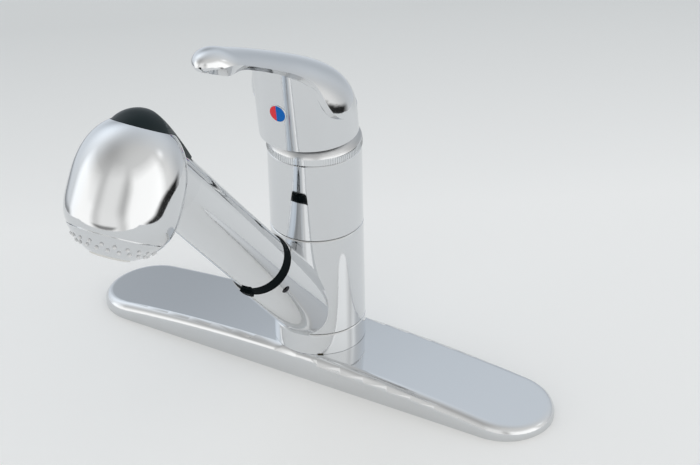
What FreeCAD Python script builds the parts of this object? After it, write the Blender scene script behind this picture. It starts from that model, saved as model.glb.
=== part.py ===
import FreeCAD, Part
import math
import os

# Kitchen faucet: single lever, swivelling spout with a pull-out spray wand, long deck plate.
# Millimetres. Origin in the middle of the deck plate's underside, +Z up, the spout points to -Y.

# Running and push fits
RUNNING_FIT = 0.06
PUSH_FIT = 0.05
MOVING_GAP = 0.4
SAME_PLACE = 1e-4

# Barrel of the faucet
BARREL_R = 23.0
COLLAR_HEIGHT = 11.7
SPOUT_HEIGHT = 53.5
SLEEVE_HEIGHT = 41.4
SEAM = 0.4
BARREL_WALL = 3.0
SLEEVE_WALL = 2.7
BUSH_WALL = 2.6
EDGE_BREAK = 0.4
WEEP_WIDTH = 3.0
WEEP_HEIGHT = 1.0
WEEP_ANGLE = 32.0

# Deck plate
PLATE_LENGTH = 260.0
PLATE_WIDTH = 48.0
PLATE_CROWN = 14.4
PLATE_END = 5.2
PLATE_WALL = 2.4
PLATE_EDGE_ROUND = 4.4
PLATE_RIB_X = 62.0
PLATE_RIB_WIDTH = 3.0
LAND_DEPTH = 0.4
GASKET_THICKNESS = 2.0
GASKET_GAP = 0.3

# Shank and its clamp under the deck
SHANK_INSET = 6.4
SHANK_STEP = 0.6
SHANK_WALL = 3.0
SHANK_LENGTH = 62.0
SHANK_SOCKET = 7.0
DECK_GRIP = 30.0
THREAD_PITCH = 2.0
THREAD_DEPTH = 0.7
SHANK_PASS = 0.5
RUBBER_WASHER_WIDTH = 9.4
RUBBER_WASHER_THICKNESS = 3.0
STEEL_WASHER_WIDTH = 8.4
STEEL_WASHER_THICKNESS = 2.0
NUT_WALL = 5.4
NUT_HEIGHT = 10.0
NUT_CORNER_CUT = 5.0

# Valve body
BASE_WALL = 3.2
JOURNAL_HEIGHT = 7.0
COLUMN_FRONT_Y = 2.0
CUP_WALL = 2.7
CUP_FLOOR = 4.0
HOSE_WAY_R = 9.5
HOSE_WAY_WALL = 1.9
WATER_WAY_R = 3.2
PORT_R = 3.7
PORT_DEPTH = 8.0
SIDE_PORT_X = 7.0
SIDE_PORT_Y = 6.5
MIDDLE_PORT_Y = 9.8

# Cartridge
CARTRIDGE_BASE = 5.0
SEAL_HEIGHT = 1.2
SEAL_WALL = 0.6
DISC_THICKNESS = 4.0
DISC_GAP = 0.6
DISC_OVERLAP = 3.2
CARRIER_HEIGHT = 4.5
HOUSING_WALL = 2.5
HOUSING_TOP = 2.0
TURRET_SHOULDER = 3.5
TURRET_FLANGE = 3.0
STEM_WIDTH = 8.0
STEM_DEPTH = 7.0
STEM_PIN_R = 1.6
STEM_BALL_R = 2.0
STEM_NECK_R = 1.2
STEM_BELOW_PIVOT = 4.5
BALL_GAP = 0.15
PIVOT_ABOVE_BALL = 9.0
STEM_LENGTH = 52.0
NUT_FLANGE_HEIGHT = 9.0
NUT_NECK_STEP = 1.5
NUT_NECK_HEIGHT = 6.0
NUT_NECK_WALL = 3.4

# Dome ring under the handle
DOME_PROUD = 0.3
DOME_BAND = 1.6
DOME_SHOULDER_INSET = 2.1
DOME_SHOULDER_RISE = 7.2
DOME_TOP_INSET = 6.3
DOME_RISE = 9.0
DOME_HOLE_GAP = 0.8
KNURL_COUNT = 120
KNURL_HEIGHT = 3.6
KNURL_DEPTH = 0.3
KNURL_WIDTH = 0.6

# Handle
HUB_PROUD = 1.0
HUB_LEAN = 6.0
HUB_FORWARD = 4.4
HUB_GAP = 1.4
HUB_WALL = 2.6
HUB_CAVITY = 12.0
HUB_MOUTH_BEVEL = 1.4
HUB_BOSS_R = 9.5
HUB_BOSS_RISE = 6.5
STEM_SOCKET_GAP = 0.1
ARM_BEVEL = 2.2
HOOD_PROUD = 0.3
INDICATOR_RISE = 22.6
INDICATOR_R = 4.6
INDICATOR_RIM = 0.35
INDICATOR_DEPTH = 2.4
SET_SCREW_R = 2.5
SET_SCREW_LENGTH = 8.0
HEX_ACROSS_FLATS = 2.5
HEX_DEPTH = 2.0
INDICATOR_PROUD = 0.2
INDICATOR_SPLIT_X = -0.8
INLAY_DEPTH = 0.8

# Hood and lever, from the back of the hub to the tip. Each row is one section from the hub's base:
# crown back, crown rise, side back, side rise, half width, lip below the side
LEVER_SECTIONS = (
    (22.0, 13.6, -4.8, 13.6, BARREL_R + HUB_PROUD + HOOD_PROUD, 2.0),
    (18.1, 23.2, -12.3, 18.6, 23.0, 2.0),
    (11.6, 30.4, -16.1, 25.6, 21.0, 2.0),
    (1.8, 37.2, -18.8, 33.6, 18.6, 2.0),
    (-12.7, 45.4, -24.8, 41.2, 15.4, 2.0),
    (-35.6, 57.3, -37.6, 50.0, 12.6, 2.0),
    (-55.6, 67.1, -56.6, 60.4, 11.4, 2.0),
    (-67.8, 72.8, -68.2, 66.4, 11.0, 3.4),
    (-75.8, 75.8, -75.2, 69.0, 10.2, 5.6),
    (-82.8, 75.4, -80.8, 69.4, 7.8, 4.4),
    (-86.2, 73.4, -84.6, 69.6, 4.8, 2.6),
    (-87.4, 71.0, -86.6, 69.4, 1.8, 1.0),
)
HUB_SECTION_COUNT = 6
LEVER_STEPS = 3

# Branch, wand and their common axis
BRANCH_ELEVATION = 49.1
BRANCH_FOOT_Z = 22.5
BRANCH_R = 15.9
BRANCH_LENGTH = 77.4
BRANCH_BORE_R = 12.4
GUIDE_LENGTH = 22.0
GUIDE_WALL = 1.5
RING_LENGTH = 5.0
RING_STEP = 0.3
RING_ROUND = 0.4
RING_LUG_LENGTH = 1.6
RING_LUG_WIDTH = 6.0
RING_LUG_PROUD = 0.7
RING_LUG_ANGLE = -90.0
BRANCH_SCREW_FROM_END = 7.6
BRANCH_SCREW_ANGLE = -25.9
BRANCH_SCREW_R = 2.0
WAND_R = 14.6
WAND_WALL = 1.8
WAND_LENGTH = 95.7
WAND_GAP = 0.3
SPIGOT_R = 11.9
SPIGOT_PLUG = 16.0
SPIGOT_REACH = 20.0
HOSE_SOCKET_R = 7.0
HOSE_SOCKET_DEPTH = 14.0
WATER_TUBE_R = 5.8
WATER_TUBE_WALL = 1.3
CHECK_VALVE_LENGTH = 12.0

# Spray head, with its own axis leaning forward
HEAD_BEYOND_WAND = 29.91
HEAD_DROP = 15.36
HEAD_LEAN = 30.8
HEAD_R = 25.2
HEAD_CROWN = 32.0
HEAD_CROWN_POWER = 2.3
HEAD_SKIRT = 18.6
HEAD_SKIRT_POWER = 4.0
HEAD_MOUTH_R = 21.7
HEAD_WALL = 2.2
NECK_ROUND = 3.0
CROWN_STEPS = 9
SKIRT_STEPS = 4
FACE_FLAT_R = 10.6
FACE_DROP = 9.2
FACE_BULGE = 0.9
FACE_WALL = 2.4
NUB_ANGLES = (46.5, 53.0)
NUB_COUNT = 20
NUB_R = 0.9
NUB_PROUD = 0.8
NUB_HOLE_OVER = 0.1
AERATOR_R = 9.0
AERATOR_WALL = 1.4
AERATOR_LENGTH = 11.0
AERATOR_PROUD = 1.0
SCREEN_HOLE_R = 0.8
SCREEN_PITCH = 2.4
SCREEN_RING_COUNT = 2
SCREEN_THICKNESS = 1.2
FACE_SEAL_WIDTH = 2.0
FACE_SEAL_HEIGHT = 1.6

# Spray button on the crown
BUTTON_HALF_WIDTH = 13.6
BUTTON_TAIL_HALF_WIDTH = 8.5
BUTTON_TAIL = 31.0
BUTTON_CROWN_RISE = 36.0
BUTTON_CROWN_R = 15.8
BUTTON_TAIL_RISE = 22.0
BUTTON_FALL_POWER = 1.2
BUTTON_STEPS = 6
BUTTON_THICKNESS = 5.0
BUTTON_GAP = 0.6
BUTTON_TRAVEL_ROOM = 2.6
SADDLE_RIM = 1.2
SADDLE_DROP = 4.0
SADDLE_BOTTOM = 5.0
BUTTON_PIN_BACK = 14.0
BUTTON_PIN_RISE = 21.4
BUTTON_PIN_R = 1.5
BUTTON_PIN_HALF = 11.0
LUG_HALF_WIDTH = 4.0
LUG_HALF_LENGTH = 3.0
LUG_BELOW_PIN = 2.2
PLUNGER_BACK = -3.0
PLUNGER_R = 3.0
PLUNGER_BOTTOM = 4.0
PLUNGER_CONTACT = 0.3
PLUNGER_RING_RISE = 9.0
PLUNGER_RING_HEIGHT = 1.5
PLUNGER_RING_WALL = 1.0
DIVERTER_R = 15.0
DIVERTER_TOP = 16.0
DIVERTER_FLANGE_R = 17.8
DIVERTER_FLANGE = 3.4
DIVERTER_OUTLET_R = 5.0
FACE_PLUG = 5.6

# Heights that follow from the sizes above
BASE_Z = PLATE_CROWN - LAND_DEPTH
COLLAR_TOP = BASE_Z + COLLAR_HEIGHT
SPOUT_BOTTOM = COLLAR_TOP + SEAM
SPOUT_TOP = SPOUT_BOTTOM + SPOUT_HEIGHT
SLEEVE_BOTTOM = SPOUT_TOP + SEAM
SLEEVE_TOP = SLEEVE_BOTTOM + SLEEVE_HEIGHT
DOME_BOTTOM = SLEEVE_TOP + SEAM
DOME_TOP = DOME_BOTTOM + DOME_RISE
HUB_BOTTOM = DOME_TOP + HUB_GAP
BARREL_BORE_R = BARREL_R - BARREL_WALL
JOURNAL_R = BARREL_BORE_R - BUSH_WALL
HOSE_WAY_Y = HOSE_WAY_R + HOSE_WAY_WALL - JOURNAL_R
SHANK_R = BARREL_R - SHANK_INSET
SHANK_TOP_R = SHANK_R - SHANK_STEP
SHANK_BORE_R = SHANK_R - SHANK_WALL
NUT_INNER_CIRCLE_R = SHANK_R + NUT_WALL
CUP_R = BARREL_R - SLEEVE_WALL - PUSH_FIT
CARTRIDGE_R = CUP_R - CUP_WALL - PUSH_FIT
TURRET_R = CARTRIDGE_R - HOUSING_WALL
TURRET_NECK_R = TURRET_R - TURRET_SHOULDER
FIXED_DISC_R = TURRET_R - DISC_GAP
MOVING_DISC_R = FIXED_DISC_R - DISC_OVERLAP
NUT_NECK_R = CARTRIDGE_R - NUT_NECK_STEP
NUT_BORE_R = NUT_NECK_R - NUT_NECK_WALL
DOME_R = BARREL_R + DOME_PROUD
HUB_R = BARREL_R + HUB_PROUD
CUP_BOTTOM = SLEEVE_BOTTOM + CUP_FLOOR
DISC_BOTTOM = CUP_BOTTOM + CARTRIDGE_BASE
MOVING_DISC_BOTTOM = DISC_BOTTOM + DISC_THICKNESS
CARRIER_BOTTOM = MOVING_DISC_BOTTOM + DISC_THICKNESS
BALL_Z = CARRIER_BOTTOM + CARRIER_HEIGHT / 2.0
PIVOT_Z = BALL_Z + PIVOT_ABOVE_BALL
TURRET_BOTTOM = CARRIER_BOTTOM + CARRIER_HEIGHT + MOVING_GAP
TURRET_FLANGE_TOP = TURRET_BOTTOM + TURRET_FLANGE
HOUSING_TOP_Z = PIVOT_Z + STEM_PIN_R + 2.0 * MOVING_GAP
NUT_BOTTOM = HOUSING_TOP_Z + HOUSING_TOP
NUT_NECK_BOTTOM = NUT_BOTTOM + NUT_FLANGE_HEIGHT
CUP_TOP = SLEEVE_TOP - SEAM
WAND_START = BRANCH_LENGTH + RING_LENGTH + WAND_GAP
WAND_END = WAND_START + WAND_LENGTH
GUIDE_R = BRANCH_BORE_R + GUIDE_WALL
WAND_BORE_R = WAND_R - WAND_WALL
BRANCH_COS = math.cos(math.radians(BRANCH_ELEVATION))
BRANCH_SIN = math.sin(math.radians(BRANCH_ELEVATION))
HEAD_ALONG = WAND_END + HEAD_BEYOND_WAND
HEAD_Y = -HEAD_ALONG * BRANCH_COS - HEAD_DROP * BRANCH_SIN
HEAD_Z = BRANCH_FOOT_Z + HEAD_ALONG * BRANCH_SIN - HEAD_DROP * BRANCH_COS

X_AXIS = FreeCAD.Vector(1, 0, 0)
Y_AXIS = FreeCAD.Vector(0, 1, 0)
Z_AXIS = FreeCAD.Vector(0, 0, 1)
ORIGIN = FreeCAD.Vector(0, 0, 0)


def point(x, y, z):
    return FreeCAD.Vector(x, y, z)


def rod(radius, bottom, top, x=0.0, y=0.0):
    return Part.makeCylinder(radius, top - bottom, point(x, y, bottom), Z_AXIS)


def pipe(outer, inner, bottom, top, x=0.0, y=0.0):
    return rod(outer, bottom, top, x, y).cut(rod(inner, bottom, top, x, y))


def turned(profile):
    """Solid of revolution about Z from a closed outline of (radius, height) corners."""
    corners = [point(radius, 0, height) for radius, height in profile]
    face = Part.Face(Part.makePolygon(corners + corners[:1]))
    return face.revolve(ORIGIN, Z_AXIS, 360)


def block(x0, x1, y0, y1, z0, z1):
    return Part.makeBox(x1 - x0, y1 - y0, z1 - z0, point(x0, y0, z0))


def hexagon(across_flats, bottom, top):
    radius = across_flats / 2.0 / math.cos(math.radians(30))
    corners = []
    for step in range(7):
        angle = math.radians(60 * step)
        corners.append(point(radius * math.cos(angle), radius * math.sin(angle), bottom))
    return Part.Face(Part.makePolygon(corners)).extrude(point(0, 0, top - bottom))


def set_screw(radius, length):
    """Headless screw along Z, its hexagon socket at the top and the top at height zero."""
    body = rod(radius, -length, 0)
    tip = [edge for edge in body.Edges if edge.BoundBox.ZMax < -length / 2.0]
    body = body.makeChamfer(EDGE_BREAK, tip)
    return body.cut(hexagon(HEX_ACROSS_FLATS * radius / SET_SCREW_R, -HEX_DEPTH, 0))


def edges_at(solid, height, radius=None):
    """Circular edges of a solid in the horizontal plane at a height, of one radius if given."""
    found = []
    for edge in solid.Edges:
        box = edge.BoundBox
        flat = abs(box.ZMin - height) < SAME_PLACE and abs(box.ZMax - height) < SAME_PLACE
        if not flat or not isinstance(edge.Curve, Part.Circle):
            continue
        if radius is None or abs(edge.Curve.Radius - radius) < SAME_PLACE:
            found.append(edge)
    return found


def on_branch(solid):
    """Put a solid built along Z onto the slanted axis of branch and wand; its Y becomes the upper side."""
    placed = solid.copy()
    turn = FreeCAD.Rotation(X_AXIS, 90.0 - BRANCH_ELEVATION)
    placed.Placement = FreeCAD.Placement(point(0, 0, BRANCH_FOOT_Z), turn)
    return placed


def on_head(solid):
    """Put a solid built upright onto the head's leaning axis; its Y becomes the side of the wand."""
    placed = solid.copy()
    placed.Placement = FreeCAD.Placement(point(0, HEAD_Y, HEAD_Z), FreeCAD.Rotation(X_AXIS, -HEAD_LEAN))
    return placed


def branch_in_head(solid):
    """Put a solid built along the wand's axis into the head's own frame."""
    placed = on_branch(solid)
    home = FreeCAD.Placement(point(0, HEAD_Y, HEAD_Z), FreeCAD.Rotation(X_AXIS, -HEAD_LEAN)).inverse()
    placed.Placement = home.multiply(placed.Placement)
    return placed


def save(name, shape):
    shape.exportStep("parts/" + name + ".step")


# Deck plate and gasket


def stadium(length, width, bottom, top):
    half = length / 2.0 - width / 2.0
    r = width / 2.0
    edges = [
        Part.LineSegment(point(-half, -r, bottom), point(half, -r, bottom)).toShape(),
        Part.Arc(point(half, -r, bottom), point(half + r, 0, bottom), point(half, r, bottom)).toShape(),
        Part.LineSegment(point(half, r, bottom), point(-half, r, bottom)).toShape(),
        Part.Arc(point(-half, r, bottom), point(-half - r, 0, bottom), point(-half, -r, bottom)).toShape(),
    ]
    return Part.Face(Part.Wire(edges)).extrude(point(0, 0, top - bottom))


def crowned_stadium(length, width, inset):
    """Stadium-shaped block under the plate's crowned top, the top lowered by inset."""
    half = PLATE_LENGTH / 2.0
    top = Part.Arc(point(-half, 0, PLATE_END - inset), point(0, 0, PLATE_CROWN - inset),
                   point(half, 0, PLATE_END - inset)).toShape()
    foot = Part.makePolygon([point(half, 0, PLATE_END - inset), point(half, 0, 0),
                             point(-half, 0, 0), point(-half, 0, PLATE_END - inset)])
    under = Part.Face(Part.Wire([top] + foot.Edges)).extrude(point(0, PLATE_WIDTH, 0))
    under.translate(point(0, -PLATE_WIDTH / 2.0, 0))
    return stadium(length, width, 0, PLATE_CROWN).common(under)


def make_deck_plate():
    plate = crowned_stadium(PLATE_LENGTH, PLATE_WIDTH, 0)
    rim = [edge for edge in plate.Edges if edge.BoundBox.ZMin > PLATE_END / 2.0]
    plate = plate.makeFillet(PLATE_EDGE_ROUND, rim)
    hollow = crowned_stadium(PLATE_LENGTH - 2 * PLATE_WALL, PLATE_WIDTH - 2 * PLATE_WALL, PLATE_WALL)
    ribs = pipe(BARREL_R - PLATE_WALL, SHANK_R + SHANK_PASS, GASKET_THICKNESS, PLATE_CROWN)
    half_rib = PLATE_RIB_WIDTH / 2.0
    for x in (-PLATE_RIB_X, PLATE_RIB_X):
        ribs = ribs.fuse(block(x - half_rib, x + half_rib, -PLATE_WIDTH / 2.0, PLATE_WIDTH / 2.0,
                               GASKET_THICKNESS, PLATE_CROWN))
    plate = plate.cut(hollow).fuse(ribs.common(hollow)).removeSplitter()
    plate = plate.cut(rod(BARREL_R, BASE_Z, PLATE_CROWN))
    return plate.cut(rod(SHANK_R + SHANK_PASS, 0, PLATE_CROWN))


def make_deck_gasket():
    inset = PLATE_WALL + GASKET_GAP
    pad = stadium(PLATE_LENGTH - 2 * inset, PLATE_WIDTH - 2 * inset, 0, GASKET_THICKNESS)
    return pad.cut(rod(SHANK_R + SHANK_PASS, 0, GASKET_THICKNESS))


# Shank and clamp


def make_mounting_shank():
    """Hollow shank: plain where the deck sits, ringed like a thread where the nut runs."""
    outline = [(SHANK_BORE_R, BASE_Z + SHANK_SOCKET), (SHANK_TOP_R, BASE_Z + SHANK_SOCKET),
               (SHANK_TOP_R, 0), (SHANK_R, 0), (SHANK_R, -DECK_GRIP)]
    turns = int((SHANK_LENGTH - DECK_GRIP) / THREAD_PITCH)
    for turn in range(turns):
        top = -DECK_GRIP - turn * THREAD_PITCH
        outline.append((SHANK_R - THREAD_DEPTH, top - THREAD_PITCH / 2.0))
        outline.append((SHANK_R - PUSH_FIT, top - THREAD_PITCH))
    outline.append((SHANK_R - THREAD_DEPTH, -SHANK_LENGTH - THREAD_DEPTH))
    outline.append((SHANK_BORE_R, -SHANK_LENGTH - THREAD_DEPTH))
    return turned(outline)


def make_clamp():
    """Rubber washer, steel washer and lock nut, stacked under the deck."""
    bore = SHANK_R + RUNNING_FIT
    rubber_bottom = -DECK_GRIP - RUBBER_WASHER_THICKNESS
    steel_bottom = rubber_bottom - STEEL_WASHER_THICKNESS
    nut_bottom = steel_bottom - NUT_HEIGHT
    rubber = pipe(SHANK_R + RUBBER_WASHER_WIDTH, bore, rubber_bottom, -DECK_GRIP)
    steel = pipe(SHANK_R + STEEL_WASHER_WIDTH, bore, steel_bottom, rubber_bottom)
    nut = hexagon(2 * NUT_INNER_CIRCLE_R, nut_bottom, steel_bottom)
    corner_r = NUT_INNER_CIRCLE_R + NUT_CORNER_CUT
    nut = nut.common(turned([(0, nut_bottom), (NUT_INNER_CIRCLE_R, nut_bottom),
                             (corner_r, nut_bottom + NUT_CORNER_CUT), (corner_r, steel_bottom),
                             (0, steel_bottom)]))
    return rubber, steel, nut.cut(rod(bore, nut_bottom, steel_bottom))


# Valve body


def water_way_places():
    return [(-SIDE_PORT_X, SIDE_PORT_Y), (SIDE_PORT_X, SIDE_PORT_Y), (0.0, MIDDLE_PORT_Y)]


def make_valve_body():
    """Brass casting: base, two journals, a column behind the hose and the cartridge cup."""
    base_r = BARREL_R - BASE_WALL - PUSH_FIT
    port_floor = BASE_Z + SHANK_SOCKET
    body = rod(base_r, BASE_Z, COLLAR_TOP)
    column = rod(JOURNAL_R, COLLAR_TOP, CUP_BOTTOM)
    opening_bottom = SPOUT_BOTTOM + JOURNAL_HEIGHT
    opening_top = SPOUT_TOP - JOURNAL_HEIGHT
    column = column.cut(block(-JOURNAL_R, JOURNAL_R, -JOURNAL_R, COLUMN_FRONT_Y,
                              opening_bottom, opening_top))
    cup = rod(CUP_R, SLEEVE_BOTTOM, CUP_TOP)
    cup = cup.cut(rod(CARTRIDGE_R + PUSH_FIT, CUP_BOTTOM, CUP_TOP))
    body = body.fuse(column).fuse(cup).removeSplitter()
    body = body.cut(rod(SHANK_TOP_R + PUSH_FIT, BASE_Z, port_floor))
    body = body.cut(rod(HOSE_WAY_R, BASE_Z, opening_top, 0, HOSE_WAY_Y))
    for x, y in water_way_places():
        body = body.cut(rod(WATER_WAY_R, port_floor, CUP_BOTTOM, x, y))
        body = body.cut(rod(PORT_R, port_floor, port_floor + PORT_DEPTH, x, y))
    return body


def make_base_collar():
    collar = pipe(BARREL_R, BARREL_R - BASE_WALL, BASE_Z, COLLAR_TOP)
    rims = edges_at(collar, COLLAR_TOP, BARREL_R) + edges_at(collar, BASE_Z, BARREL_R)
    collar = collar.makeChamfer(EDGE_BREAK, rims)
    weep = block(BARREL_R - 2 * BASE_WALL, BARREL_R + BASE_WALL, -WEEP_WIDTH / 2.0, WEEP_WIDTH / 2.0,
                 BASE_Z, BASE_Z + WEEP_HEIGHT)
    weep.rotate(ORIGIN, Z_AXIS, WEEP_ANGLE - 90.0)
    return collar.cut(weep)


def make_swivel_bush(lip_bottom, ring_bottom, ring_top):
    """Plastic bearing ring with a thin lip that shows as the seam."""
    inner = JOURNAL_R + PUSH_FIT
    ring = pipe(BARREL_BORE_R - RUNNING_FIT, inner, ring_bottom, ring_top)
    return ring.fuse(pipe(BARREL_R - 3 * EDGE_BREAK, inner, lip_bottom, lip_bottom + SEAM)).removeSplitter()


def make_upper_sleeve():
    sleeve = pipe(BARREL_R, CUP_R + PUSH_FIT, SLEEVE_BOTTOM, SLEEVE_TOP)
    rims = edges_at(sleeve, SLEEVE_TOP, BARREL_R) + edges_at(sleeve, SLEEVE_BOTTOM, BARREL_R)
    return sleeve.makeChamfer(EDGE_BREAK, rims)


# Spout body with its branch


def branch_screw_place(solid):
    """Turn and slide a screw-like solid to its place on the side of the branch."""
    placed = solid.copy()
    across = FreeCAD.Rotation(Y_AXIS, 90.0)
    around = FreeCAD.Rotation(Z_AXIS, BRANCH_SCREW_ANGLE)
    seat = around.multVec(point(BRANCH_R - 2 * EDGE_BREAK, 0, 0))
    seat = seat + point(0, 0, BRANCH_LENGTH - BRANCH_SCREW_FROM_END)
    placed.Placement = FreeCAD.Placement(seat, around.multiply(across))
    return on_branch_keep(placed)


def on_branch_keep(solid):
    """As on_branch, for a solid that already has a place along the axis."""
    placed = solid.copy()
    turn = FreeCAD.Rotation(X_AXIS, 90.0 - BRANCH_ELEVATION)
    placed.Placement = FreeCAD.Placement(point(0, 0, BRANCH_FOOT_Z), turn).multiply(solid.Placement)
    return placed


def make_spout_body():
    barrel = rod(BARREL_R, SPOUT_BOTTOM, SPOUT_TOP)
    rims = edges_at(barrel, SPOUT_TOP) + edges_at(barrel, SPOUT_BOTTOM)
    barrel = barrel.makeChamfer(EDGE_BREAK, rims)
    branch = on_branch(rod(BRANCH_R, 0, BRANCH_LENGTH))
    below = block(-BARREL_R, BARREL_R, -2 * BARREL_R, BARREL_R, -BARREL_R, SPOUT_BOTTOM)
    body = barrel.fuse(branch.cut(below)).removeSplitter()
    body = body.cut(rod(BARREL_BORE_R, SPOUT_BOTTOM, SPOUT_TOP))
    body = body.cut(on_branch(rod(BRANCH_BORE_R, 0, BRANCH_LENGTH)))
    body = body.cut(on_branch(rod(GUIDE_R + PUSH_FIT, BRANCH_LENGTH - GUIDE_LENGTH, BRANCH_LENGTH)))
    return body.cut(branch_screw_place(rod(BRANCH_SCREW_R + PUSH_FIT, -BRANCH_R, BRANCH_R)))


def make_branch_screw():
    screw = set_screw(BRANCH_SCREW_R, BRANCH_R - 2 * EDGE_BREAK - GUIDE_R - PUSH_FIT)
    return branch_screw_place(screw)


def make_guide_bush():
    return on_branch(pipe(GUIDE_R, SPIGOT_R + RUNNING_FIT, BRANCH_LENGTH - GUIDE_LENGTH, BRANCH_LENGTH))


def make_docking_ring():
    end = BRANCH_LENGTH + RING_LENGTH
    foot_r = BRANCH_R - RING_STEP
    ring = Part.makeCone(foot_r, WAND_R, RING_LENGTH, point(0, 0, BRANCH_LENGTH))
    ring = ring.makeFillet(RING_ROUND, edges_at(ring, BRANCH_LENGTH) + edges_at(ring, end))
    lug_r = BRANCH_R + RING_LUG_PROUD
    start = BRANCH_LENGTH - RING_LUG_LENGTH
    lug_end = BRANCH_LENGTH + RING_LENGTH / 2.0
    tongue = pipe(lug_r, WAND_R - RING_ROUND, BRANCH_LENGTH, lug_end)
    tongue = tongue.fuse(pipe(lug_r, BRANCH_R + PUSH_FIT, start, lug_end))
    strip = block(0, 2 * BRANCH_R, -RING_LUG_WIDTH / 2.0, RING_LUG_WIDTH / 2.0, start, end)
    strip.rotate(ORIGIN, Z_AXIS, RING_LUG_ANGLE)
    ring = ring.fuse(tongue.common(strip)).removeSplitter()
    return on_branch(ring.cut(rod(SPIGOT_R + RUNNING_FIT, BRANCH_LENGTH, end)))


# Wand


def make_wand_tube():
    tube = pipe(WAND_R, WAND_BORE_R, WAND_START, WAND_END)
    return on_branch(tube.makeChamfer(EDGE_BREAK, edges_at(tube, WAND_START, WAND_R)))


def make_wand_spigot():
    """Docking end of the wand: plugs into the tube, slides in the guide, holds the hose thread."""
    tip = WAND_START - WAND_GAP - RING_LENGTH - SPIGOT_REACH
    spigot = rod(SPIGOT_R, tip, WAND_START)
    spigot = spigot.makeChamfer(2 * EDGE_BREAK, edges_at(spigot, tip))
    spigot = spigot.fuse(rod(WAND_BORE_R - PUSH_FIT, WAND_START, WAND_START + SPIGOT_PLUG)).removeSplitter()
    spigot = spigot.cut(rod(HOSE_SOCKET_R, tip, tip + HOSE_SOCKET_DEPTH))
    return on_branch(spigot.cut(rod(WATER_TUBE_R, tip, WAND_START + SPIGOT_PLUG)))


def check_valve_bottom():
    return WAND_START - WAND_GAP - RING_LENGTH - SPIGOT_REACH + HOSE_SOCKET_DEPTH + SEAM


def make_check_valve():
    bottom = check_valve_bottom()
    middle = bottom + CHECK_VALVE_LENGTH / 2.0
    case = pipe(WATER_TUBE_R - PUSH_FIT, WATER_TUBE_R - WATER_TUBE_WALL, bottom, bottom + CHECK_VALVE_LENGTH)
    spider = block(-WATER_TUBE_R + PUSH_FIT * 4, WATER_TUBE_R - PUSH_FIT * 4, -SEAM, SEAM,
                   middle, bottom + CHECK_VALVE_LENGTH)
    cone = Part.makeCone(WATER_TUBE_WALL, WATER_TUBE_R - 2 * WATER_TUBE_WALL, CHECK_VALVE_LENGTH / 2.0,
                         point(0, 0, bottom), Z_AXIS)
    return on_branch(case.fuse(spider).fuse(cone).removeSplitter())


def make_water_tube():
    start = check_valve_bottom() + CHECK_VALVE_LENGTH
    return on_branch(pipe(WATER_TUBE_R - PUSH_FIT, WATER_TUBE_R - WATER_TUBE_WALL, start, water_tube_end()))


# Spray head


def crown_radius(height, inset):
    share = max(0.0, 1.0 - (height / (HEAD_CROWN - inset)) ** HEAD_CROWN_POWER)
    return (HEAD_R - inset) * share ** (1.0 / HEAD_CROWN_POWER)


def egg(inset):
    """The head's round form about its own axis, drawn in by inset."""
    points = []
    for step in range(CROWN_STEPS + 1):
        angle = math.pi / 2.0 * (1.0 - step / CROWN_STEPS)
        height = (HEAD_CROWN - inset) * math.sin(angle) ** (2.0 / HEAD_CROWN_POWER)
        points.append(point(crown_radius(height, inset) if step else 0.0, 0, height))
    for step in range(1, SKIRT_STEPS + 1):
        drop = HEAD_SKIRT * step / SKIRT_STEPS
        radius = HEAD_R - (HEAD_R - HEAD_MOUTH_R) * (drop / HEAD_SKIRT) ** HEAD_SKIRT_POWER
        points.append(point(radius - inset, 0, -drop))
    curve = Part.BSplineCurve()
    curve.interpolate(points)
    side = curve.toShape()
    foot = Part.makePolygon([points[-1], point(0, 0, points[-1].z), points[0]])
    return Part.Face(Part.Wire([side] + foot.Edges)).revolve(ORIGIN, Z_AXIS, 360)


def axis_back_of_head(along):
    """How far behind the head's axis a point of the wand's axis lies."""
    end = point(0, -along * BRANCH_COS, BRANCH_FOOT_Z + along * BRANCH_SIN)
    home = FreeCAD.Placement(point(0, HEAD_Y, HEAD_Z), FreeCAD.Rotation(X_AXIS, -HEAD_LEAN)).inverse()
    return home.multVec(end).y


def reach(back):
    """Distance along the wand's axis at which it comes within back of the head's axis."""
    start = axis_back_of_head(0.0)
    return (start - back) / (start - axis_back_of_head(1.0))


def water_tube_end():
    return reach(DIVERTER_R - WATER_TUBE_R)


def button_plan(margin, bottom, top):
    """Button outline seen along the head's axis: a round front and sides that taper to the tail."""
    r = BUTTON_HALF_WIDTH + margin
    tail = BUTTON_TAIL_HALF_WIDTH + margin
    back = BUTTON_TAIL + 2 * margin
    edges = [
        Part.Arc(point(r, 0, bottom), point(0, -r, bottom), point(-r, 0, bottom)).toShape(),
        Part.LineSegment(point(-r, 0, bottom), point(-tail, back, bottom)).toShape(),
        Part.LineSegment(point(-tail, back, bottom), point(tail, back, bottom)).toShape(),
        Part.LineSegment(point(tail, back, bottom), point(r, 0, bottom)).toShape(),
    ]
    return Part.Face(Part.Wire(edges)).extrude(point(0, 0, top - bottom))


def button_top(back):
    fall = (BUTTON_CROWN_RISE - BUTTON_TAIL_RISE) * (back / BUTTON_TAIL) ** BUTTON_FALL_POWER
    return BUTTON_CROWN_RISE - fall


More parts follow.
